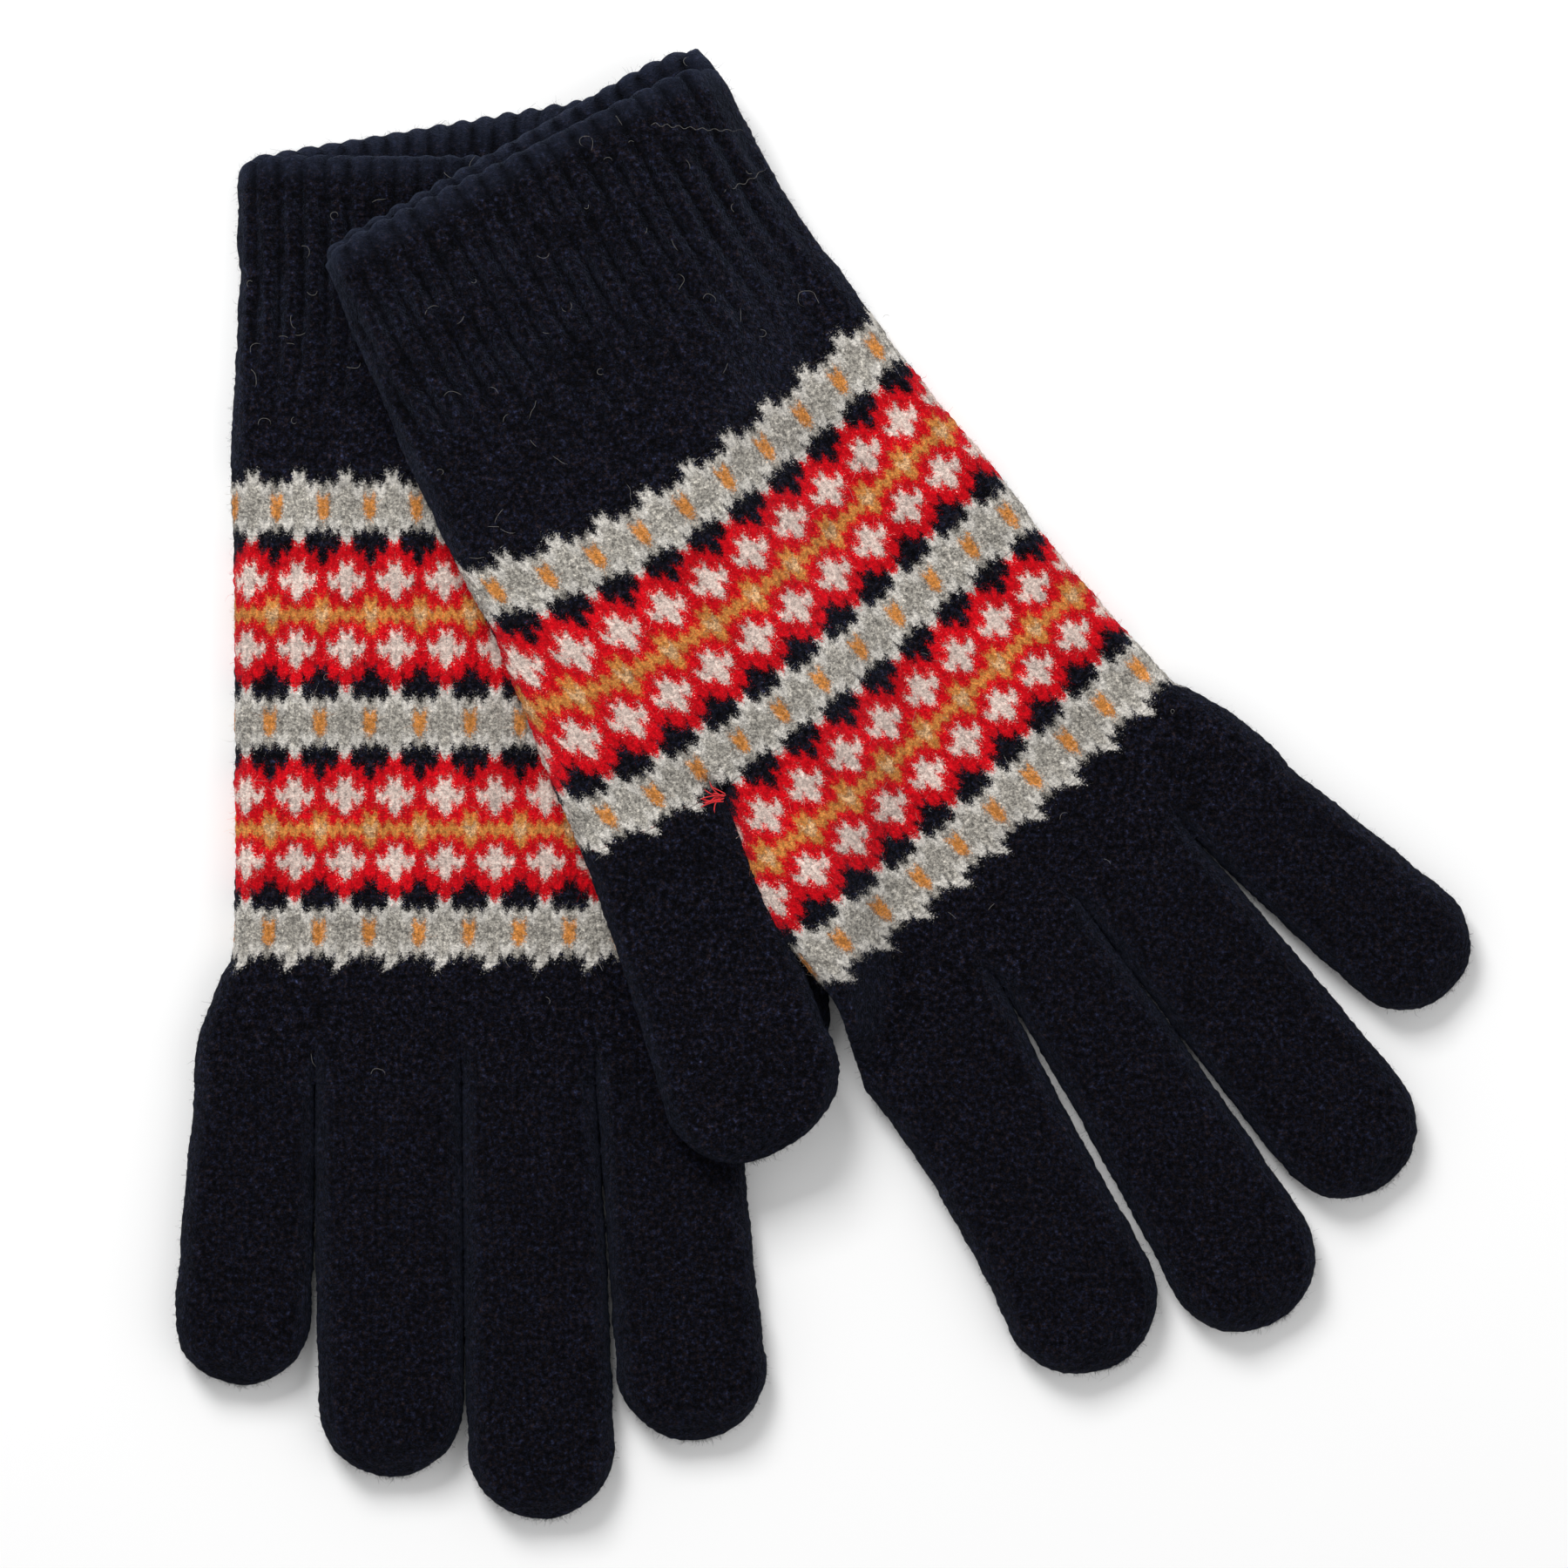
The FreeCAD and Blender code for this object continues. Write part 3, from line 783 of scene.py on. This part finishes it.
# yarn noise and colours, and painted light: the rim's painted sheen and the stitches' painted hollow shade
dyeAndPaintedLight = {
    # noise scales, in waves to a metre
    "heather": 1900.0,
    "nubs": 1050.0,
    "marl": 2300.0,
    "broad": 110.0,
    "uneven": 230.0,
    "strands": 3300.0,
    # two readings of the chart: how fine their edges fray, and how far, in stitches
    "frays": [(1300.0, 0.9), (2900.0, 2.3)],
    # power of the mottling, against how blue a yarn is
    "mottle": [(0.0, (0.75,) * 3), (0.36, (1.9,) * 3), (0.7, (0.7,) * 3)],
    # painted sheen: a bluer, paler colour painted on the cuff's rim, and how much of it is laid on
    "paintedRimSheen": (0.022, 0.028, 0.050),
    "paintedRimSheenShare": 0.55,
    # painted shade: how much darker the stitches' hollows are painted
    "hollow": 0.30,          # how much darker the hollows of the stitches are
    "bump": 0.0011,
    "sheen": {True: 0.10, False: 0.06},      # of ribbed and plain wool
    "sheenTint": (0.5, 0.64, 1.0, 1.0),
}


def stitchLead(tree, u):
    # how far the V of a stitch runs ahead at u, in rows
    fold = calc(tree, "ABSOLUTE", calc(tree, "MULTIPLY_ADD", calc(tree, "FRACT", u), 2.0, -1.0))
    return calc(tree, "MULTIPLY_ADD", fold, -knit["vee"], knit["vee"])


def woolMaterial(name, patternTo=None, ribbed=False):
    material, tree = newMaterial(name)
    link = tree.links.new
    where = add(tree, "ShaderNodeTexCoord").outputs["Object"]
    coords = tree.nodes.new("ShaderNodeUVMap")
    coords.uv_map = "knit"
    split = tree.nodes.new("ShaderNodeSeparateXYZ")
    link(coords.outputs[0], split.inputs[0])
    # heather: navy carded with a little blue and brown, felted into small light and dark nubs
    heather = noise(tree, where, dyeAndPaintedLight["heather"], 3.0, 0.6).outputs["Fac"]
    carded = zip((0.38, 0.5, 0.64), (yarns["navyBrown"], yarns["navy"], yarns["navyBlue"]))
    navy = steps(tree, heather, list(carded))
    nubs = noise(tree, where, dyeAndPaintedLight["nubs"], 4.0, 0.72).outputs["Fac"]
    navy = shaded(tree, navy, calc(tree, "POWER", calc(tree, "MULTIPLY", nubs, 2.0), 5.0))
    colour = navy
    if patternTo:
        # two frayed readings of the chart mix where yarns meet
        marl = noise(tree, where, dyeAndPaintedLight["marl"], 3.0, 0.7).outputs["Fac"]
        first, second = (chartColour(tree, where, split, navy, patternTo, *fray) for fray in dyeAndPaintedLight["frays"])
        colour = mixColour(tree, marl, first, second)
        # the grey is the most mottled: yarns with much or little blue in them are evener
        blue = tree.nodes.new("ShaderNodeSeparateColor")
        link(colour, blue.inputs[0])
        power = steps(tree, blue.outputs[2], dyeAndPaintedLight["mottle"])
        mottle = calc(tree, "MULTIPLY", calc(tree, "MULTIPLY", marl, nubs), 4.0)
        colour = shaded(tree, colour, calc(tree, "POWER", mottle, power))
    # broad changes of tone
    broad = noise(tree, where, dyeAndPaintedLight["broad"], 3.0, 0.55).outputs["Fac"]
    shade = calc(tree, "MULTIPLY_ADD", broad, 0.8, 0.62)
    # painted shade: the hollows between a stitch's legs, and between stitches, are painted darker
    lead = stitchLead(tree, split.outputs[0])
    loops = calc(tree, "ABSOLUTE", calc(tree, "SINE", calc(tree, "MULTIPLY",
                 calc(tree, "SUBTRACT", split.outputs[1], lead), math.pi)))
    legs = calc(tree, "MULTIPLY", split.outputs[0], 2 * math.pi)
    legs = calc(tree, "ABSOLUTE", calc(tree, "SINE", legs))
    plump = calc(tree, "MULTIPLY", calc(tree, "POWER", legs, 0.5), calc(tree, "POWER", loops, 0.4))
    shade = calc(tree, "MULTIPLY", shade, calc(tree, "MULTIPLY_ADD", plump, dyeAndPaintedLight["hollow"], 0.76))
    if ribbed:
        # painted shade: the valleys between the ribs are painted darker, fading towards the hand
        rib = calc(tree, "ABSOLUTE", calc(tree, "COSINE", calc(tree, "MULTIPLY", split.outputs[0],
                   math.pi / cuffs["ribPitch"])))
        fade = calc(tree, "MULTIPLY_ADD", split.outputs[1], -1 / cuffs["fadeRows"],
                    cuffs["ribRows"] / cuffs["fadeRows"])
        uneven = noise(tree, where, dyeAndPaintedLight["uneven"], 3.0, 0.7).outputs["Fac"]
        fade = calc(tree, "MULTIPLY", clamped(tree, fade), calc(tree, "MULTIPLY_ADD", uneven, -1.9, 0.25))
        valley = calc(tree, "MULTIPLY", calc(tree, "POWER", rib, 3.0), fade)
        shade = calc(tree, "MULTIPLY", shade, calc(tree, "ADD", valley, 1.12))
        # painted sheen: over the first two rows the rim is painted bluer and paler, for the light that its
        # rounded edge catches
        nearRim = calc(tree, "MULTIPLY_ADD", uneven, 0.8, 0.6)
        nearRim = clamped(tree, calc(tree, "MULTIPLY_ADD", split.outputs[1], -0.5, nearRim))
        colour = mixColour(tree, calc(tree, "MULTIPLY", nearRim, dyeAndPaintedLight["paintedRimSheenShare"]), colour, dyeAndPaintedLight["paintedRimSheen"])
    colour = shaded(tree, colour, shade)
    strands = noise(tree, where, dyeAndPaintedLight["strands"], 3.0, 0.65).outputs["Fac"]
    height = calc(tree, "ADD", calc(tree, "MULTIPLY", strands, 0.5), nubs)
    bump = add(tree, "ShaderNodeBump", Strength=1.0, Distance=dyeAndPaintedLight["bump"])
    link(height, bump.inputs["Height"])
    shader = add(tree, "ShaderNodeBsdfPrincipled", Roughness=0.95, Specular_IOR_Level=0.06,
                 Sheen_Weight=dyeAndPaintedLight["sheen"][ribbed], Sheen_Roughness=0.30,
                 Sheen_Tint=dyeAndPaintedLight["sheenTint"])
    link(colour, shader.inputs["Base Color"])
    link(bump.outputs[0], shader.inputs["Normal"])
    surfaceFrom(tree, shader)
    return material


def shaded(tree, colour, factor):
    tint = tree.nodes.new("ShaderNodeCombineColor")
    for socket in tint.inputs:
        tree.links.new(factor, socket)
    return mixColour(tree, 1.0, colour, tint.outputs[0], "MULTIPLY")


def chartColour(tree, where, split, navy, patternTo, fine, wander):
    # The map's u counts stitches and v counts rows. A V-shaped lead turns square cells into
    # stitches, and noise frays their edges. The row picks a step of three ramps, and the
    # stitch's place in its repeat of four picks the ramp.
    link = tree.links.new
    fray = noise(tree, where, fine, 3.0, 0.7)
    frayed = tree.nodes.new("ShaderNodeSeparateColor")
    link(fray.outputs["Color"], frayed.inputs[0])
    sideways = calc(tree, "SUBTRACT", frayed.outputs[0], 0.5)
    endways = calc(tree, "SUBTRACT", frayed.outputs[1], 0.5)
    u = calc(tree, "MULTIPLY_ADD", sideways, wander, split.outputs[0])
    v = calc(tree, "MULTIPLY_ADD", endways, 1.6 * wander, split.outputs[1])
    row = calc(tree, "FLOOR", calc(tree, "SUBTRACT", v, stitchLead(tree, u)))
    step = calc(tree, "MULTIPLY_ADD", calc(tree, "FLOORED_MODULO",
                calc(tree, "SUBTRACT", row, float(rowsAt[1])), 19.0), 1 / 19, 0.5 / 19)
    place4 = calc(tree, "FLOORED_MODULO", calc(tree, "FLOOR", u), 4.0)
    colours = {kind: steps(tree, step, code) for kind, code in chart.items()}
    odd = calc(tree, "COMPARE", calc(tree, "FLOORED_MODULO", place4, 2.0), 1.0, 0.1)
    isCross = calc(tree, "COMPARE", place4, 2.0, 0.1)
    colour = mixColour(tree, isCross, colours["dot"], colours["cross"])
    colour = mixColour(tree, odd, colour, colours["beside"])
    # the navy of the chart is the same heather yarn as the cuff
    dark = tree.nodes.new("ShaderNodeSeparateColor")
    link(colour, dark.inputs[0])
    isNavy = calc(tree, "LESS_THAN", dark.outputs[0], 0.02)
    outside = calc(tree, "MAXIMUM", calc(tree, "LESS_THAN", row, rowsAt[1] - 0.5),
                   calc(tree, "GREATER_THAN", row, patternTo - 0.5))
    return mixColour(tree, calc(tree, "MAXIMUM", isNavy, outside), colour, navy)


wool = {
    "navy": woolMaterial("navy_heather_wool"),
    "cuff": woolMaterial("ribbed_navy_wool", patternTo=float(rowsAt[6]), ribbed=True),
    "bands": woolMaterial("patterned_wool", patternTo=float(rowsAt[6])),
    "thumb": woolMaterial("thumb_wool", patternTo=float(forkRow)),
}
print("yarns dyed")


def dress(piece, wool_, slotName, nodes, bodies, fold=None):
    # a piece and its loose fibres share their wool and move together
    surface = outerUv[piece.name]
    span = surface[0]
    cells = np.cross(span[1:] - span[:-1], np.roll(span, -1, 1)[:-1] - span[:-1])
    count = int(fuzz["perSquare"] * np.linalg.norm(cells, axis=-1).sum())
    hairs = fibres(f"{piece.name}_fuzz", surface, count, sum(map(ord, piece.name)))
    for item in (piece, hairs):
        item.data.materials.append(wool_)
        if fold:
            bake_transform(item)
        else:
            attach(item, bodies[0])
    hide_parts(*nodes)


def foldLine(joint, length):
    # from the hinge along the part that turns
    hinge = np.array(joints[joint]["pos_m"])
    axis = np.array(joints[joint]["axis"])
    out = np.cross(axis, (0, 0, -1))
    return tuple(hinge), tuple(hinge + out * length * mm)


cuffFold = foldLine("left_cuff_turn", cuffs["fold"])
for glove in ("right", "left"):
    body = f"{glove}_glove"
    for index in range(1, len(sections)):
        name = sections[index]
        slotName = "navy_wool" if name == "knuckles" else f"{name.split('_')[1]}_wool"
        dress(bandPiece(glove, index), wool["bands"], slotName, [f"{glove}_{name}"], [body])
    # only the upper glove's cuff and thumb can move
    cuffMoves = ([body, "left_wrist"], cuffFold) if glove == "left" else ([body],)
    dress(cuffPiece(glove), wool["cuff"], "navy_wool", [f"{glove}_cuff"], *cuffMoves)
    for name in ("little", "ring", "middle", "index"):
        nodes = [f"{glove}_{name}_finger"]
        if (glove, name) == ("right", "index"):
            nodes = ["right_index_base", "right_index_end"]
        piece = digitPiece(glove, f"{name}_finger", nodes[-1].split("_", 1)[1], nodes[0].split("_", 1)[1])
        dress(piece, wool["navy"], "navy_wool", nodes, [body, f"{glove}_{name}"],
              foldLine(f"{glove}_{name}_bend", digits["bend"]))
    thumbMoves = ([body],)
    if glove == "left":
        thumbMoves = ([body, "left_thumb"], foldLine("left_thumb_bend", digits["bend"]))
    dress(digitPiece(glove, "thumb", "thumb", "thumb"), wool["thumb"], "navy_wool", [f"{glove}_thumb"],
          *thumbMoves)
    print(glove, "glove knitted")

# ---- stray hairs and a yarn's end ----

strays = {
    # each hair starts at a place on its glove, in millimetres from the little finger's hinge,
    # then has its length, heading in degrees, curl in radians and depth of waves
    "left": [((-10.7, 163.6), 19.0, -45, 0.2, 1.0), ((-7.4, 145.9), 10.5, -19, 0.5, 1.0),
             ((-5.7, 119.5), 8.0, 60, 4.4, 0.3), ((-21.9, 166.2), 6.5, 20, 5.0, 0.2),
             ((-24.0, 104.0), 5.5, 210, 3.6, 0.3), ((-62.0, 141.6), 2.2, 70, 1.5, 0.0)],
    "right": [((14.0, 30.0), 4.0, 30, 3.0, 0.2), ((20.0, 152.0), 2.4, 100, 1.2, 0.0),
              ((7.0, 141.0), 3.0, 250, 1.6, 0.2)],
}


def strandMesh(name, paths, wide):
    # each strand is a thin four-sided tube along its path, closed at its ends
    verts, faces = [], []
    for path in paths:
        ahead = unit(np.gradient(path, axis=0))
        side = unit(np.cross(ahead, [0, 0, 1.0]))
        up = np.cross(side, ahead)
        taper = (wide / 2 * np.minimum(1, 4 * (1 - np.linspace(0, 1, len(path))) + 0.1))[:, None]
        across, over = side * taper, up * taper
        ring = np.stack([path + across, path + over, path - across, path - over], 1)
        base = sum(len(v) for v in verts)
        n = len(path)
        k, m = np.meshgrid(np.arange(n - 1), np.arange(4), indexing="ij")
        quads = np.stack([k * 4 + m, k * 4 + (m + 1) % 4, (k + 1) * 4 + (m + 1) % 4, (k + 1) * 4 + m], -1)
        verts.append(ring.reshape(-1, 3))
        faces += (quads.reshape(-1, 4) + base).tolist()
        faces += [[base + 3, base + 2, base + 1, base], [base + 4 * (n - 1) + m for m in range(4)]]
    mesh = bpy.data.meshes.new(name)
    mesh.from_pydata((np.concatenate(verts) * mm).tolist(), [], faces)
    mesh.shade_smooth()
    return linked(name, mesh)


def topOf(glove, plan):
    # height of a glove's back, with its crown
    row = toRow(glove, plan)
    return np.c_[row, liesOn(glove, row) + 2 * hand["half"] + hand["crown"]]


scatter = {       # short curly hairs all over a glove's back
    "count": 80,
    "seed": {"left": 40, "right": 41},
    "across": {"left": (-82, 4), "right": (-4, 82)},
    "along": (2, 170),
    "clearBelow": 72,        # from here on, hairs keep off the thumb and the knuckles' edges
    "inward": 0.7,
    "long": (1.2, 4.0),
    "curl": 3.0,
    "wavy": (0, 0.4),
}
strand = {
    "wide": 0.05,
    "lift": 0.25,            # height over the glove's back
    "pointsLong": 40,
    "pointsShort": 14,
    "longFrom": 5,
}


def scattered(glove):
    rng = np.random.default_rng(scatter["seed"][glove])
    first, last = scatter["along"]
    hairs = []
    for _ in range(scatter["count"]):
        y = rng.uniform(0, 1) ** 0.8 * (last - first) + first
        x = rng.uniform(*scatter["across"][glove])
        if y < scatter["clearBelow"]:
            x = scatter["inward"] * x
        length, turn = rng.uniform(*scatter["long"]), rng.uniform(0, 360)
        curl, wavy = rng.normal(0, scatter["curl"]), rng.uniform(*scatter["wavy"])
        hairs.append(((x, y), length, turn, curl, wavy))
    return hairs


def walk(start, heading, step):
    # a path on the plan that takes equal steps along its headings
    return start + np.cumsum(np.c_[np.cos(heading), np.sin(heading)] * step, axis=0)


def strayHairs(glove):
    paths = []
    for (x, y), length, turn, curl, wavy in strays[glove] + scattered(glove):
        t = np.linspace(0, 1, strand["pointsLong"] if length > strand["longFrom"] else strand["pointsShort"])
        waving = wavy * 0.75 * np.sin(length * 2.6 * t) * (1.1 - 0.5 * t)
        heading = math.radians(turn) + curl * t ** 1.4 + waving
        path = topOf(glove, walk(np.array([x, y]), heading, length / (len(t) - 1)))
        path[:, 2] += strand["lift"] + 0.35 * np.sin(math.pi * t) + 0.15 * np.sin(9 * t)
        paths.append(path)
    return strandMesh(f"{glove}_stray_hairs", paths, strand["wide"])


def plainWool(name, colour):
    material, tree = newMaterial(name)
    where = add(tree, "ShaderNodeTexCoord").outputs["Object"]
    fleck = noise(tree, where, 1600.0, 2.0, 0.6).outputs["Fac"]
    tone = shaded(tree, colour, calc(tree, "MULTIPLY_ADD", fleck, 1.0, 0.5))
    shader = add(tree, "ShaderNodeBsdfPrincipled", Roughness=0.8, Sheen_Weight=0.2)
    tree.links.new(tone, shader.inputs["Base Color"])
    surfaceFrom(tree, shader)
    return material


tail = {          # plies of red yarn that stick out at the fork of the upper glove's thumb
    "plies": 14,
    "points": 14,
    "seed": 12,
    "fromFork": (0.8, -5.6),
    "heading": (142, 16),    # in degrees, and how far the plies spread about it
    "curl": 0.9,
    "long": (2.0, 4.4),
    "spread": 0.35,
    "wide": 0.2,
}


def yarnEnd():
    start = creases["left"]["middle_grey_band"][0] + tail["fromFork"]
    rng = np.random.default_rng(tail["seed"])
    t = np.linspace(0, 1, tail["points"])
    paths = []
    for _ in range(tail["plies"]):
        heading = math.radians(rng.normal(*tail["heading"])) + rng.normal(0, tail["curl"]) * t
        step = rng.uniform(*tail["long"]) / (tail["points"] - 1)
        path = topOf("left", walk(start + rng.normal(0, tail["spread"], 2), heading, step))
        path[:, 2] += -0.5 + 0.8 * t + rng.uniform(-0.3, 0.3)
        paths.append(path)
    return strandMesh("left_yarn_end", paths, tail["wide"])


paleFibre = plainWool("pale_fibre", (0.21, 0.20, 0.185))
redPly = plainWool("red_ply", yarns["red"])
for glove in ("right", "left"):
    hairs = strayHairs(glove)
    hairs.data.materials.append(paleFibre)
    if glove == "left":
        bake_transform(hairs)
    else:
        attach(hairs, "right_glove")
plies = yarnEnd()
plies.data.materials.append(redPly)
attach(plies, "left_glove")
print("loose fibres:", sum(fibreTotal))

# ---- floor, light and camera ----

studio = {
    # in metres and watts
    "floor": (0.93, 0.93, 0.93, 1),
    "floorHalf": 3.0,
    "floorLevel": -0.0003,
    "world": 0.52,
    "key": (0.45, 10.5, (-0.35, 0.75, 0.8)),     # a lamp's size, power and place
    "fill": (0.8, 2.0, (0.7, -0.2, 0.8)),
    "sensor": 36,
    "cameraHeight": 1.2,
    "focusHeight": 0.008,                # the height at which the view has its width
    "view": (0.2862, -0.0071, 0.0024),   # width of the view, and its middle
}


def floorPlane():
    material, tree = newMaterial("floor_paper")
    shader = add(tree, "ShaderNodeBsdfPrincipled", Base_Color=studio["floor"], Roughness=0.9)
    surfaceFrom(tree, shader)
    mesh = bpy.data.meshes.new("floor")
    half, level = studio["floorHalf"], studio["floorLevel"]
    around = [(-half, -half, level), (half, -half, level), (half, half, level), (-half, half, level)]
    mesh.from_pydata(around, [], [(0, 1, 2, 3)])
    floor = linked("floor", mesh)
    floor.data.materials.append(material)


def areaLight(name, size, energy, stand):
    light = bpy.data.lights.new(name, "AREA")
    light.size = size
    light.energy = energy
    lamp = linked(name, light)
    lamp.location = stand
    lamp.rotation_euler = Vector(stand).to_track_quat("Z", "Y").to_euler()


def studioLight():
    world = bpy.data.worlds.new("studio")
    world.use_nodes = True
    world.node_tree.nodes["Background"].inputs["Color"].default_value = (1, 1, 1, 1)
    world.node_tree.nodes["Background"].inputs["Strength"].default_value = studio["world"]
    bpy.context.scene.world = world
    areaLight("key", *studio["key"])
    areaLight("fill", *studio["fill"])
    bpy.context.scene.view_settings.view_transform = "Standard"


def camera():
    data = bpy.data.cameras.new("camera")
    wide, x, y = studio["view"]
    data.sensor_width = studio["sensor"]
    data.lens = studio["sensor"] * (studio["cameraHeight"] - studio["focusHeight"]) / wide
    camera_ = linked("camera", data)
    camera_.location = (x, y, studio["cameraHeight"])
    bpy.context.scene.camera = camera_


floorPlane()
studioLight()
camera()
